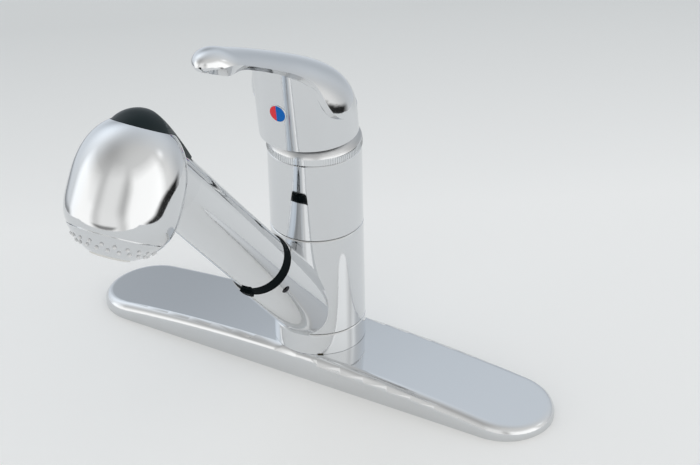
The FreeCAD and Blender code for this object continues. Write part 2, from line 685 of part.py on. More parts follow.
def button_crown(drop, floor):
    """Everything under the button's crowned top lowered by drop, down to floor."""
    centre = BUTTON_CROWN_RISE - BUTTON_CROWN_R - drop
    front = Part.makeSphere(BUTTON_CROWN_R, point(0, 0, centre)).fuse(rod(BUTTON_CROWN_R, floor, centre))
    front = front.common(block(-HEAD_R, HEAD_R, -HEAD_R, 0, floor, 2 * BUTTON_CROWN_RISE))
    half = (BUTTON_HALF_WIDTH + BUTTON_CROWN_R) / 2.0
    sag = BUTTON_CROWN_R - math.sqrt(BUTTON_CROWN_R ** 2 - half ** 2)
    wires = []
    for step in range(BUTTON_STEPS + 1):
        back = (BUTTON_TAIL + 4 * SADDLE_RIM) * step / BUTTON_STEPS
        top = button_top(back) - drop
        arc = Part.Arc(point(-half, back, top - sag), point(0, back, top),
                       point(half, back, top - sag)).toShape()
        foot = Part.makePolygon([point(half, back, top - sag), point(half, back, floor),
                                 point(-half, back, floor), point(-half, back, top - sag)])
        wires.append(Part.Wire([arc] + foot.Edges))
    return front.fuse(Part.makeLoft(wires, True, False)).removeSplitter()


def lug(gap, top):
    """Lug under the button that the pivot pin passes through, grown by gap."""
    return block(-LUG_HALF_WIDTH - gap, LUG_HALF_WIDTH + gap,
                 BUTTON_PIN_BACK - LUG_HALF_LENGTH - gap, BUTTON_PIN_BACK + LUG_HALF_LENGTH + gap,
                 BUTTON_PIN_RISE - LUG_BELOW_PIN - gap, top)


def cross_rod(radius, left, right, back, rise):
    return Part.makeCylinder(radius, right - left, point(left, back, rise), X_AXIS)


def make_head_shell():
    """Chrome shell: round head, neck of the wand and the saddle that carries the button."""
    floor = -HEAD_SKIRT
    form = egg(0).fuse(branch_in_head(rod(WAND_R, WAND_END, reach(0))))
    crease = [edge for edge in form.Edges if edge.CenterOfMass.y > HEAD_MOUTH_R / 2.0
              and isinstance(edge.Curve, Part.BSplineCurve)]
    form = form.makeFillet(NECK_ROUND, crease)
    saddle = button_plan(SADDLE_RIM, SADDLE_BOTTOM, BUTTON_CROWN_RISE)
    saddle = saddle.common(button_crown(SADDLE_DROP, floor))
    saddle = saddle.common(branch_in_head(rod(2 * HEAD_R, WAND_END, reach(-HEAD_R))))
    plug = rod(WAND_BORE_R - PUSH_FIT, WAND_END - SPIGOT_PLUG, WAND_END)
    form = form.fuse(saddle).fuse(branch_in_head(plug))
    recess = button_plan(BUTTON_GAP, 0, 2 * BUTTON_CROWN_RISE)
    recess = recess.cut(button_crown(BUTTON_THICKNESS + BUTTON_TRAVEL_ROOM, floor - MOVING_GAP))
    form = form.cut(recess).cut(lug(BUTTON_GAP, BUTTON_CROWN_RISE))
    pin_hole = BUTTON_PIN_R + PUSH_FIT
    form = form.cut(cross_rod(pin_hole, -HEAD_R, BUTTON_PIN_HALF, BUTTON_PIN_BACK, BUTTON_PIN_RISE))
    form = form.cut(rod(PLUNGER_R + RUNNING_FIT, DIVERTER_TOP, BUTTON_CROWN_RISE, 0, PLUNGER_BACK))
    form = form.cut(egg(HEAD_WALL).common(rod(HEAD_R, floor, DIVERTER_TOP)))
    return on_head(form.cut(branch_in_head(rod(WATER_TUBE_R, WAND_END - SPIGOT_PLUG, water_tube_end()))))


def make_spray_button():
    button = button_plan(0, 0, 2 * BUTTON_CROWN_RISE).common(button_crown(0, 0))
    button = button.cut(button_crown(BUTTON_THICKNESS, -MOVING_GAP))
    button = button.fuse(lug(0, button_top(BUTTON_PIN_BACK) - BUTTON_THICKNESS)).removeSplitter()
    hole = cross_rod(BUTTON_PIN_R + RUNNING_FIT, -HEAD_R, HEAD_R, BUTTON_PIN_BACK, BUTTON_PIN_RISE)
    return on_head(button.cut(hole))


def make_button_pin():
    pin = cross_rod(BUTTON_PIN_R, -BUTTON_PIN_HALF, BUTTON_PIN_HALF, BUTTON_PIN_BACK, BUTTON_PIN_RISE)
    return on_head(pin)


def make_plunger():
    """Diverter plunger and the rubber ring in its groove."""
    under = BUTTON_CROWN_RISE - BUTTON_THICKNESS - BUTTON_CROWN_R
    under = under + math.sqrt(BUTTON_CROWN_R ** 2 - (PLUNGER_R - PLUNGER_BACK) ** 2)
    plunger = rod(PLUNGER_R, PLUNGER_BOTTOM, under - PLUNGER_CONTACT, 0, PLUNGER_BACK)
    ring = pipe(PLUNGER_R, PLUNGER_R - PLUNGER_RING_WALL, PLUNGER_RING_RISE,
                PLUNGER_RING_RISE + PLUNGER_RING_HEIGHT, 0, PLUNGER_BACK)
    return on_head(plunger.cut(ring)), on_head(ring)


def face_plug_top():
    return -HEAD_SKIRT + FACE_PLUG


def make_diverter_block():
    """Plastic block that sends the water to the nubs or to the aerator."""
    bottom = face_plug_top() + FACE_SEAL_HEIGHT
    form = rod(DIVERTER_FLANGE_R, bottom, bottom + DIVERTER_FLANGE)
    form = form.fuse(rod(DIVERTER_R, bottom, DIVERTER_TOP))
    form = form.removeSplitter().cut(rod(DIVERTER_OUTLET_R, bottom, PLUNGER_BOTTOM - PLUNGER_R))
    form = form.cut(rod(PLUNGER_R + RUNNING_FIT, PLUNGER_BOTTOM - PLUNGER_R, DIVERTER_TOP, 0, PLUNGER_BACK))
    return on_head(form.cut(branch_in_head(rod(WATER_TUBE_R, WAND_END, reach(0)))))


def face_flat():
    return -HEAD_SKIRT - SEAM - FACE_DROP


def face_bend():
    """Centre (radius, height) and radius of the spray face's round outline."""
    width = HEAD_MOUTH_R - FACE_FLAT_R
    chord = math.hypot(width, FACE_DROP)
    radius = (chord ** 2 / 4.0 + FACE_BULGE ** 2) / (2.0 * FACE_BULGE)
    inward = (radius - FACE_BULGE) / chord
    centre_r = (HEAD_MOUTH_R + FACE_FLAT_R) / 2.0 - FACE_DROP * inward
    return centre_r, face_flat() + FACE_DROP / 2.0 + width * inward, radius


def face_arc(radius, outer, inner):
    """Part of a circle about the face's centre, between two distances from the head's axis."""
    centre_r, centre_z, bend = face_bend()
    places = []
    for across in (outer, (outer + inner) / 2.0, inner):
        places.append(point(across, 0, centre_z - math.sqrt(radius ** 2 - (across - centre_r) ** 2)))
    return places


def nubs(radius, proud):
    """Small rods through the round edge of the spray face, in staggered rows."""
    centre_r, centre_z, bend = face_bend()
    found = []
    for row, angle in enumerate(NUB_ANGLES):
        slope = math.radians(angle)
        out = point(math.cos(slope), 0, -math.sin(slope))
        start = point(centre_r, 0, centre_z) + out * (bend - FACE_WALL)
        for place in range(NUB_COUNT):
            nub = Part.makeCylinder(radius, FACE_WALL + proud, start, out)
            if proud > radius / 2.0:
                top = start + out * (FACE_WALL + proud)
                crown = [edge for edge in nub.Edges if (edge.CenterOfMass - top).Length < SAME_PLACE]
                nub = nub.makeFillet(radius / 2.0, crown)
            nub.rotate(ORIGIN, Z_AXIS, 360.0 * (place + row / 2.0) / NUB_COUNT)
            found.append(nub)
    return Part.makeCompound(found)


def make_spray_face():
    """Round face under the head with a plug into the shell and a collar for the aerator."""
    bend = face_bend()[2]
    top = -HEAD_SKIRT - SEAM
    plug_r = HEAD_MOUTH_R - HEAD_WALL - PUSH_FIT
    first, middle, last = face_arc(bend, HEAD_MOUTH_R, FACE_FLAT_R)
    edges = Part.makePolygon([last, point(0, 0, face_flat()), point(0, 0, face_plug_top()),
                              point(plug_r, 0, face_plug_top()), point(plug_r, 0, top), first]).Edges
    outline = Part.Wire([Part.Arc(first, middle, last).toShape()] + edges)
    face = Part.Face(outline).revolve(ORIGIN, Z_AXIS, 360)
    hole = AERATOR_R + PUSH_FIT
    collar = hole + AERATOR_WALL
    first, middle, last = face_arc(bend - FACE_WALL, plug_r - FACE_WALL, collar)
    edges = Part.makePolygon([last, point(last.x, 0, face_plug_top()), point(first.x, 0, face_plug_top()),
                              first]).Edges
    chamber = Part.Face(Part.Wire([Part.Arc(first, middle, last).toShape()] + edges))
    face = face.cut(chamber.revolve(ORIGIN, Z_AXIS, 360)).cut(rod(hole, face_flat(), face_plug_top()))
    face = face.cut(rod(plug_r - FACE_WALL, face_flat() + AERATOR_LENGTH - AERATOR_PROUD, face_plug_top()))
    return on_head(face.cut(nubs(NUB_R, NUB_HOLE_OVER)))


def make_nozzle_nubs():
    placed = nubs(NUB_R - PUSH_FIT, NUB_PROUD)
    return on_head(placed)


def make_face_seal():
    outer = HEAD_MOUTH_R - HEAD_WALL - PUSH_FIT
    bottom = face_plug_top()
    return on_head(pipe(outer, outer - FACE_SEAL_WIDTH, bottom, bottom + FACE_SEAL_HEIGHT))


def make_aerator():
    """Aerator tube in the middle of the face and the screen in its mouth."""
    mouth = face_flat() - AERATOR_PROUD
    bore = AERATOR_R - AERATOR_WALL
    body = pipe(AERATOR_R, bore, mouth, mouth + AERATOR_LENGTH)
    step = pipe(bore, bore - AERATOR_WALL, mouth + 2 * SCREEN_THICKNESS, mouth + 3 * SCREEN_THICKNESS)
    screen = rod(bore - PUSH_FIT, mouth + SCREEN_THICKNESS, mouth + 2 * SCREEN_THICKNESS)
    holes = [rod(SCREEN_HOLE_R, mouth, mouth + 3 * SCREEN_THICKNESS)]
    for ring in range(1, SCREEN_RING_COUNT + 1):
        for place in range(6 * ring):
            angle = 2.0 * math.pi * place / (6 * ring)
            holes.append(rod(SCREEN_HOLE_R, mouth, mouth + 3 * SCREEN_THICKNESS,
                             ring * SCREEN_PITCH * math.cos(angle), ring * SCREEN_PITCH * math.sin(angle)))
    return on_head(body.fuse(step).removeSplitter()), on_head(screen.cut(Part.makeCompound(holes)))


# Cartridge


def make_cartridge_base():
    base = rod(CARTRIDGE_R, CUP_BOTTOM, DISC_BOTTOM)
    for x, y in water_way_places():
        base = base.cut(rod(WATER_WAY_R, CUP_BOTTOM, DISC_BOTTOM, x, y))
        base = base.cut(rod(WATER_WAY_R + SEAL_WALL, CUP_BOTTOM, CUP_BOTTOM + SEAL_HEIGHT, x, y))
    return base


def make_port_seals():
    rings = []
    for x, y in water_way_places():
        rings.append(pipe(WATER_WAY_R + SEAL_WALL - PUSH_FIT, WATER_WAY_R,
                          CUP_BOTTOM, CUP_BOTTOM + SEAL_HEIGHT, x, y))
    return Part.makeCompound(rings)


def make_fixed_disc():
    disc = rod(FIXED_DISC_R, DISC_BOTTOM, MOVING_DISC_BOTTOM)
    for x, y in water_way_places():
        disc = disc.cut(rod(WATER_WAY_R, DISC_BOTTOM, MOVING_DISC_BOTTOM, x, y))
    return disc


def ball_y():
    return PIVOT_ABOVE_BALL * math.sin(math.radians(HUB_LEAN))


def make_moving_disc():
    disc = rod(MOVING_DISC_R, MOVING_DISC_BOTTOM, CARRIER_BOTTOM, 0, ball_y())
    cavity = rod(WATER_WAY_R, MOVING_DISC_BOTTOM, MOVING_DISC_BOTTOM + DISC_THICKNESS / 2.0, 0, SIDE_PORT_Y)
    return disc.cut(cavity)


def make_disc_carrier():
    top = CARRIER_BOTTOM + CARRIER_HEIGHT
    carrier = rod(MOVING_DISC_R, CARRIER_BOTTOM, top, 0, ball_y())
    return carrier.cut(rod(STEM_BALL_R + BALL_GAP, CARRIER_BOTTOM, top, 0, ball_y()))


def make_cartridge_housing():
    shoulder = TURRET_FLANGE_TOP + MOVING_GAP
    lower = pipe(CARTRIDGE_R, TURRET_R, DISC_BOTTOM, shoulder)
    return lower.fuse(pipe(CARTRIDGE_R, TURRET_NECK_R + RUNNING_FIT, shoulder, NUT_BOTTOM)).removeSplitter()


def make_turret():
    """Turning part of the cartridge; its slot lets the stem tilt on the pin."""
    turret = rod(TURRET_R - RUNNING_FIT, TURRET_BOTTOM, TURRET_FLANGE_TOP)
    turret = turret.fuse(rod(TURRET_NECK_R, TURRET_BOTTOM, NUT_BOTTOM)).removeSplitter()
    half = STEM_WIDTH / 2.0 + MOVING_GAP
    turret = turret.cut(block(-half, half, -STEM_WIDTH, STEM_WIDTH, TURRET_BOTTOM, NUT_BOTTOM))
    return turret.cut(cross_rod(STEM_PIN_R + PUSH_FIT, -TURRET_NECK_R, TURRET_NECK_R, 0, PIVOT_Z))


def make_stem_pin():
    half = TURRET_NECK_R - 2 * EDGE_BREAK
    return cross_rod(STEM_PIN_R, -half, half, 0, PIVOT_Z)


def on_stem(solid):
    """Put a solid built upright about the pivot into its leaning place."""
    placed = solid.copy()
    placed.Placement = FreeCAD.Placement(point(0, 0, PIVOT_Z), FreeCAD.Rotation(X_AXIS, HUB_LEAN))
    return placed


def make_cartridge_stem():
    half_x = STEM_WIDTH / 2.0
    half_y = STEM_DEPTH / 2.0
    bar = block(-half_x, half_x, -half_y, half_y, -STEM_BELOW_PIVOT, STEM_LENGTH)
    ball = Part.makeSphere(STEM_BALL_R, point(0, 0, -PIVOT_ABOVE_BALL))
    stem = bar.fuse(rod(STEM_NECK_R, -PIVOT_ABOVE_BALL, 0)).fuse(ball).removeSplitter()
    return on_stem(stem.cut(cross_rod(STEM_PIN_R + RUNNING_FIT, -STEM_WIDTH, STEM_WIDTH, 0, 0)))


def make_cartridge_nut():
    nut = rod(CARTRIDGE_R, NUT_BOTTOM, NUT_NECK_BOTTOM).fuse(rod(NUT_NECK_R, NUT_NECK_BOTTOM, nut_top()))
    return nut.removeSplitter().cut(rod(NUT_BORE_R, NUT_BOTTOM, nut_top()))


def nut_top():
    return NUT_NECK_BOTTOM + NUT_NECK_HEIGHT


def make_dome_ring():
    """Chrome ring over the cartridge nut: a band with a fine knurl, then a rounded shoulder."""
    band = DOME_BOTTOM + DOME_BAND
    top_r = DOME_R - DOME_TOP_INSET
    hole = NUT_BORE_R + DOME_HOLE_GAP
    side = Part.Arc(point(DOME_R, 0, band),
                    point(DOME_R - DOME_SHOULDER_INSET, 0, DOME_BOTTOM + DOME_SHOULDER_RISE),
                    point(top_r, 0, DOME_TOP)).toShape()
    seat = NUT_NECK_R + PUSH_FIT
    inside = Part.makePolygon([point(top_r, 0, DOME_TOP), point(hole, 0, DOME_TOP),
                               point(hole, 0, nut_top()), point(seat, 0, nut_top()),
                               point(seat, 0, DOME_BOTTOM), point(DOME_R, 0, DOME_BOTTOM),
                               point(DOME_R, 0, band)])
    ring = Part.Face(Part.Wire([side] + inside.Edges)).revolve(ORIGIN, Z_AXIS, 360)
    cuts = []
    for place in range(KNURL_COUNT):
        notch = block(DOME_R - KNURL_DEPTH, DOME_R + KNURL_DEPTH, -KNURL_WIDTH / 2.0, KNURL_WIDTH / 2.0,
                      DOME_BOTTOM, DOME_BOTTOM + KNURL_HEIGHT)
        notch.rotate(ORIGIN, Z_AXIS, 360.0 * place / KNURL_COUNT)
        cuts.append(notch)
    return ring.cut(Part.makeCompound(cuts))


# Handle


def on_hub(solid):
    """Put a solid built upright about the hub's base into its leaning place."""
    placed = solid.copy()
    lean = FreeCAD.Rotation(X_AXIS, HUB_LEAN)
    placed.Placement = FreeCAD.Placement(point(0, -HUB_FORWARD, HUB_BOTTOM), lean).multiply(solid.Placement)
    return placed


def lever_lines():
    """Smooth lines through the crowns, right sides and lips of the lever's sections."""
    crowns = [point(0, row[0] - HUB_FORWARD, row[1] + HUB_BOTTOM) for row in LEVER_SECTIONS]
    sides = [point(row[4], row[2] - HUB_FORWARD, row[3] + HUB_BOTTOM) for row in LEVER_SECTIONS]
    stations = [0.0]
    for place in range(1, len(crowns)):
        step = (crowns[place] - crowns[place - 1]).Length + (sides[place] - sides[place - 1]).Length
        stations.append(stations[-1] + step)
    lips = [point(row[5], 0, station) for row, station in zip(LEVER_SECTIONS, stations)]
    lines = []
    for points in (crowns, sides, lips):
        line = Part.BSplineCurve()
        line.interpolate(Points=points, Parameters=stations)
        lines.append(line)
    return lines, stations


def lever_section(crown, side, lip, bevel):
    """One section of hood and lever: an arc over the crown, then a bevelled lip below each side."""
    middle = point(0, side.y, side.z)
    down = (middle - crown).normalize()
    bottom = middle + down * lip
    left = point(-side.x, side.y, side.z)
    inset = point(side.x - bevel, 0, 0)
    arc = Part.Arc(left, crown, side).toShape()
    foot = Part.makePolygon([side, bottom + inset, bottom - inset, left])
    return Part.Wire([arc] + foot.Edges)


def make_hood():
    """Hood and lever as one smooth skin over many sections."""
    (crowns, sides, lips), stations = lever_lines()
    skin = []
    for place in range((len(stations) - 1) * LEVER_STEPS + 1):
        row = min(place // LEVER_STEPS, len(stations) - 2)
        share = place / LEVER_STEPS - row
        station = stations[row] + (stations[row + 1] - stations[row]) * share
        side = sides.value(station)
        bevel = min(ARM_BEVEL, side.x / 2.0)
        skin.append(lever_section(crowns.value(station), side, lips.value(station).x, bevel))
    return Part.makeLoft(skin, True, False)


def hub_front():
    """Space in front of the hood's side line, up to the arm, that the hub fills."""
    (crowns, sides, lips), stations = lever_lines()
    corners = []
    for station in stations[:HUB_SECTION_COUNT]:
        crown = crowns.value(station)
        side = sides.value(station)
        down = point(0, side.y - crown.y, side.z - crown.z).normalize()
        corners.append(point(-2 * HUB_R, side.y, side.z) + down * (lips.value(station).x / 2.0))
    corners.append(point(-2 * HUB_R, corners[-1].y, corners[0].z))
    return Part.Face(Part.makePolygon(corners + corners[:1])).extrude(point(4 * HUB_R, 0, 0))


def make_handle():
    """Zinc casting: leaning hub, a hood over its back and top, and the lever arm with its bulb tip."""
    shoulder = HUB_BOTTOM + LEVER_SECTIONS[0][1]
    post = on_hub(rod(HUB_R, -HUB_R, 3 * HUB_R))
    low = post.common(block(-2 * HUB_R, 2 * HUB_R, -3 * HUB_R, 2 * HUB_R, HUB_BOTTOM, shoulder))
    handle = low.fuse(post.common(hub_front())).removeSplitter().fuse(make_hood())
    inner_r = HUB_R - HUB_WALL
    cavity = on_hub(rod(inner_r, -HUB_WALL, HUB_CAVITY))
    mouth = Part.makeCone(inner_r + HUB_MOUTH_BEVEL, inner_r - HUB_MOUTH_BEVEL, 2 * HUB_MOUTH_BEVEL,
                          point(0, -HUB_FORWARD, HUB_BOTTOM), Z_AXIS)
    boss_start = HUB_BOTTOM - PIVOT_Z + HUB_BOSS_RISE
    cavity = cavity.cut(on_stem(rod(HUB_BOSS_R, boss_start, boss_start + HUB_R)))
    handle = handle.cut(cavity).cut(mouth)
    half_x = STEM_WIDTH / 2.0 + STEM_SOCKET_GAP
    half_y = STEM_DEPTH / 2.0 + STEM_SOCKET_GAP
    handle = handle.cut(on_stem(block(-half_x, half_x, -half_y, half_y, 0, STEM_LENGTH + STEM_SOCKET_GAP)))
    handle = handle.cut(at_indicator(rod(SET_SCREW_R + PUSH_FIT, -HUB_R, 0)))
    return handle.cut(at_indicator(rod(INDICATOR_R + PUSH_FIT, -INDICATOR_DEPTH, INDICATOR_DEPTH)))


def at_indicator(solid):
    """Put a solid built along Z onto the hub's front, its Z pointing out of the hub."""
    placed = solid.copy()
    outward = FreeCAD.Rotation(X_AXIS, 90.0)
    placed.Placement = FreeCAD.Placement(point(0, -HUB_R, INDICATOR_RISE), outward).multiply(solid.Placement)
    return on_hub(placed)


def make_handle_screw():
    """Set screw that holds the handle on the stem, deep in its hole behind the indicator."""
    rise = HUB_BOTTOM + INDICATOR_RISE * math.cos(math.radians(HUB_LEAN)) - PIVOT_Z
    stem_y = -rise * math.tan(math.radians(HUB_LEAN)) - STEM_DEPTH / 2.0
    hub_y = -HUB_FORWARD - INDICATOR_RISE * math.sin(math.radians(HUB_LEAN)) - HUB_R
    depth = (stem_y - hub_y) * math.cos(math.radians(HUB_LEAN))
    screw = set_screw(SET_SCREW_R, SET_SCREW_LENGTH)
    screw.translate(point(0, 0, SET_SCREW_LENGTH - depth + 2 * STEM_SOCKET_GAP))
    return at_indicator(screw)


def make_indicator():
    """Round plug over the set screw, with a red and a blue inlay."""
    face = INDICATOR_PROUD
    inlay_r = INDICATOR_R - INDICATOR_RIM
    inlay_bottom = face - INLAY_DEPTH
    plug = rod(INDICATOR_R, -INDICATOR_DEPTH, face).cut(rod(inlay_r, inlay_bottom, face))
    inlay = rod(inlay_r - PUSH_FIT, inlay_bottom, face)
    red = inlay.common(block(-INDICATOR_R, INDICATOR_SPLIT_X, -INDICATOR_R, INDICATOR_R, inlay_bottom, face))
    blue = inlay.common(block(INDICATOR_SPLIT_X, INDICATOR_R, -INDICATOR_R, INDICATOR_R, inlay_bottom, face))
    return at_indicator(plug), at_indicator(red), at_indicator(blue)


# Build every piece and write it out

os.makedirs("parts", exist_ok=True)
rubber_washer, steel_washer, lock_nut = make_clamp()
diverter_plunger, plunger_ring = make_plunger()
aerator_body, aerator_screen = make_aerator()
indicator_plug, indicator_hot, indicator_cold = make_indicator()
lower_bush = make_swivel_bush(COLLAR_TOP, COLLAR_TOP, SPOUT_BOTTOM + JOURNAL_HEIGHT)
upper_bush = make_swivel_bush(SPOUT_TOP, SPOUT_TOP - JOURNAL_HEIGHT, SLEEVE_BOTTOM)

PIECES = {
    "deck_plate": make_deck_plate(),
    "deck_gasket": make_deck_gasket(),
    "mounting_shank": make_mounting_shank(),
    "rubber_washer": rubber_washer,
    "steel_washer": steel_washer,
    "lock_nut": lock_nut,
    "valve_body": make_valve_body(),
    "base_collar": make_base_collar(),
    "lower_swivel_bush": lower_bush,
    "upper_swivel_bush": upper_bush,
    "upper_sleeve": make_upper_sleeve(),
    "spout_body": make_spout_body(),
    "branch_set_screw": make_branch_screw(),
    "wand_guide_bush": make_guide_bush(),
    "docking_ring": make_docking_ring(),
    "wand_tube": make_wand_tube(),
    "wand_spigot": make_wand_spigot(),
    "check_valve": make_check_valve(),
    "wand_water_tube": make_water_tube(),
    "head_shell": make_head_shell(),
    "diverter_block": make_diverter_block(),
    "diverter_plunger": diverter_plunger,
    "plunger_ring": plunger_ring,
    "spray_button": make_spray_button(),
    "button_pivot_pin": make_button_pin(),
    "face_seal": make_face_seal(),
    "spray_face": make_spray_face(),
    "nozzle_nubs": make_nozzle_nubs(),
    "aerator_body": aerator_body,
    "aerator_screen": aerator_screen,
    "cartridge_base": make_cartridge_base(),
    "port_seals": make_port_seals(),
    "fixed_disc": make_fixed_disc(),
    "moving_disc": make_moving_disc(),
    "disc_carrier": make_disc_carrier(),
    "cartridge_housing": make_cartridge_housing(),
    "cartridge_turret": make_turret(),
    "stem_pin": make_stem_pin(),
    "cartridge_stem": make_cartridge_stem(),
    "cartridge_nut": make_cartridge_nut(),
    "dome_ring": make_dome_ring(),
    "handle": make_handle(),
    "handle_set_screw": make_handle_screw(),
    "indicator_plug": indicator_plug,
    "indicator_hot": indicator_hot,
    "indicator_cold": indicator_cold,
}

for name, shape in PIECES.items():
    save(name, shape)
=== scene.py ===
import math

import bpy
from mathutils import Matrix, Vector

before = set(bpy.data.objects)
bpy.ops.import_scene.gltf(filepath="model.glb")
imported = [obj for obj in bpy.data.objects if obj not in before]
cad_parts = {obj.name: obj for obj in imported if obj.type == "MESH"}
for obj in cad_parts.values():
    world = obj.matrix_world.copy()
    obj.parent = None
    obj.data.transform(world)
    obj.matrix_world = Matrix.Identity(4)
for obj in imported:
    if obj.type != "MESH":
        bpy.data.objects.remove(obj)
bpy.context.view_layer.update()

# Deck plate: one long pressed brass cover, polished and chrome plated.
# Its top is crowned, and it lies on the deck on its rim, held down by the faucet's foot.


class Socket:
    """An output of a material's nodes. Sums on it add Math nodes, node() adds any other node."""

    def __init__(self, tree, output=None):
        self.tree = tree
        self.output = output

    def node(self, kind, settings=None, output=0, **inputs):
        """Inputs go by name, with _ for a space, or by number, as i0, i1 and so on."""
        made = self.tree.nodes.new("ShaderNode" + kind)
        for name, value in (settings or {}).items():
            setattr(made, name, value)
        for name, value in inputs.items():
            place = int(name[1:]) if name[1:].isdigit() else name.replace("_", " ")
            socket = made.inputs[place]
            if isinstance(value, Socket):
                self.tree.links.new(value.output, socket)
            else:
                socket.default_value = value
        return Socket(self.tree, made.outputs[output])

    def sum(self, operation, left, right):
        return self.node("Math", {"operation": operation}, i0=left, i1=right)

    def __add__(self, other):
        return self.sum("ADD", self, other)

    def __radd__(self, other):
        return self.sum("ADD", other, self)

    def __sub__(self, other):
        return self.sum("SUBTRACT", self, other)

    def __rsub__(self, other):
        return self.sum("SUBTRACT", other, self)

    def __mul__(self, other):
        return self.sum("MULTIPLY", self, other)

    def __rmul__(self, other):
        return self.sum("MULTIPLY", other, self)

    def __gt__(self, other):
        return self.sum("GREATER_THAN", self, other)

    def __abs__(self):
        return self.node("Math", {"operation": "ABSOLUTE"}, i0=self)


def new_finish(name):
    """A material with its bare shader, and a Socket to build its nodes from."""
    finish = bpy.data.materials.new(name)
    finish.use_nodes = True
    return finish, finish.node_tree.nodes["Principled BSDF"], Socket(finish.node_tree)


def feed(nodes, shader, **inputs):
    """Links what varies over the surface to the shader, and sets what doesn't."""
    for name, value in inputs.items():
        socket = shader.inputs[name.replace("_", " ")]
        if isinstance(value, Socket):
            nodes.tree.links.new(value.output, socket)
        else:
            socket.default_value = value


def noise(nodes, where, scale, detail=3.0, roughness=0.5):
    return nodes.node("TexNoise", Vector=where, Scale=scale, Detail=detail, Roughness=roughness)


def stretched(nodes, scale, turn=(0.0, 0.0, 0.0)):
    """Object coordinates, stretched so that a noise on them turns into streaks."""
    place = nodes.node("TexCoord", output="Object")
    return nodes.node("Mapping", Vector=place, Scale=scale, Rotation=turn)


def between(nodes, value, start, end):
    """How far a value has come from start to end, from 0 to 1."""
    return nodes.node("MapRange", Value=value, From_Min=start, From_Max=end, To_Min=0.0, To_Max=1.0)


def mixed(nodes, share, first, second):
    """A colour between two others, by a share from 0 to 1."""
    return nodes.node("Mix", {"data_type": "RGBA"}, 2, i0=share, i6=first + (1.0,), i7=second + (1.0,))


# The default tint is a little lighter than the tint the plate and head pass in. This is painted light: it
# makes the barrel, wand and handle chrome reflect a little brighter.
def chrome(name, ripple, ripple_height, haze, streaks=(1.0, 1.0, 1.0), turn=(0.0, 0.0, 0.0),
           tint=(0.72, 0.735, 0.75)):
    """Polished chrome: a faint ripple left by buffing, wiped streaks and a thin haze in the gloss."""
    finish, shader, nodes = new_finish(name)
    place = nodes.node("TexCoord", output="Object")
    cloud = noise(nodes, place, 14.0)
    wipe = noise(nodes, stretched(nodes, streaks, turn), 160.0, 4.0, 0.65)
    speck = noise(nodes, place, 900.0, 1.0)
    colour = mixed(nodes, cloud, tuple(0.965 * c for c in tint), tint)
    rough = 0.035 + haze * wipe + 0.02 * cloud + 0.02 * (speck > 0.72)
    buffed = noise(nodes, place, ripple, 2.0, 0.4)
    bump = nodes.node("Bump", Strength=1.0, Distance=ripple_height, Height=buffed)
    feed(nodes, shader, Base_Color=colour, Roughness=rough, Metallic=1.0, Normal=bump)
    return finish


def dress(finish, *names):
    """Gives CAD pieces their finish."""
    for name in names:
        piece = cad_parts[name]
        piece.data.materials.clear()
        piece.data.materials.append(finish)


plate_chrome = chrome("plate_chrome", ripple=30.0, ripple_height=0.000015, haze=0.05,
                      streaks=(0.25, 3.0, 1.0), tint=(0.70, 0.715, 0.73))
dress(plate_chrome, "deck_plate")

# Base collar, spout body and upper sleeve: turned brass tubes, polished and chrome plated.
# The collar and the sleeve stand still, and the spout body swivels between them.
# painted light: this chrome keeps the lighter default tint, so its reflections come out brighter than the
# plate's and the head's
barrel_chrome = chrome("barrel_chrome", ripple=40.0, ripple_height=0.00002, haze=0.03,
                       streaks=(1.0, 1.0, 0.12))
dress(barrel_chrome, "base_collar", "upper_sleeve", "spout_body")

# Wand tube: drawn tube, polished and chrome plated, with the buffing lines along it.
# It plugs onto the head's neck at one end and onto the white spigot at the other.
wand_chrome = chrome("wand_chrome", ripple=36.0, ripple_height=0.00002, haze=0.03,
                     streaks=(1.0, 1.0, 0.12), turn=(0.71, 0.0, 0.0))
dress(wand_chrome, "wand_tube")

# Spray head: moulded shell and face, metal plated to the same chrome.
# The plating follows the mould's slow ripple, so its mirror is a little softer.
head_chrome = chrome("head_chrome", ripple=26.0, ripple_height=0.00005, haze=0.05, tint=(0.70, 0.715, 0.73))
dress(head_chrome, "head_shell", "spray_face")

# Handle and dome ring: cast zinc, ground and polished by hand, then chrome plated.
# The ring screws over the cartridge nut; its knurled edge is polished and its shoulder only brushed.
# The handle is held on the stem by a set screw.
cast_chrome = chrome("cast_chrome", ripple=22.0, ripple_height=0.00008, haze=0.05)
dress(cast_chrome, "handle", "indicator_plug")
ring_chrome, shader, nodes = new_finish("ring_chrome")
height = nodes.node("SeparateXYZ", output="Z", Vector=nodes.node("TexCoord", output="Generated"))
shoulder = between(nodes, height, 0.38, 0.55)
brushed = noise(nodes, stretched(nodes, (1.0, 1.0, 0.1)), 500.0)
colour = mixed(nodes, shoulder, (0.72, 0.735, 0.75), (0.50, 0.51, 0.52))
feed(nodes, shader, Base_Color=colour, Roughness=0.05 + shoulder * (0.25 + 0.1 * brushed), Metallic=1.0)
dress(ring_chrome, "dome_ring")

# Spray button and docking ring: moulded black plastic with a fine satin grain.
# The button rocks on its pin, and the ring is pressed onto the end of the branch.


def moulded(name, dark, light, rough, grain, depth, coat=0.0, gloss=0.5):
    """Moulded plastic, rubber, ceramic or enamel: a fine grain and a slow change of tone and gloss."""
    finish, shader, nodes = new_finish(name)
    place = nodes.node("TexCoord", output="Object")
    tone = noise(nodes, place, 45.0, 4.0, 0.6)
    pits = noise(nodes, place, grain, 2.0, 0.6)
    bump = nodes.node("Bump", Strength=0.6, Distance=depth, Height=pits)
    feed(nodes, shader, Base_Color=mixed(nodes, tone, dark, light),
         Roughness=rough + 0.12 * tone + 0.06 * pits, Normal=bump, Coat_Weight=coat, Specular_IOR_Level=gloss)
    return finish


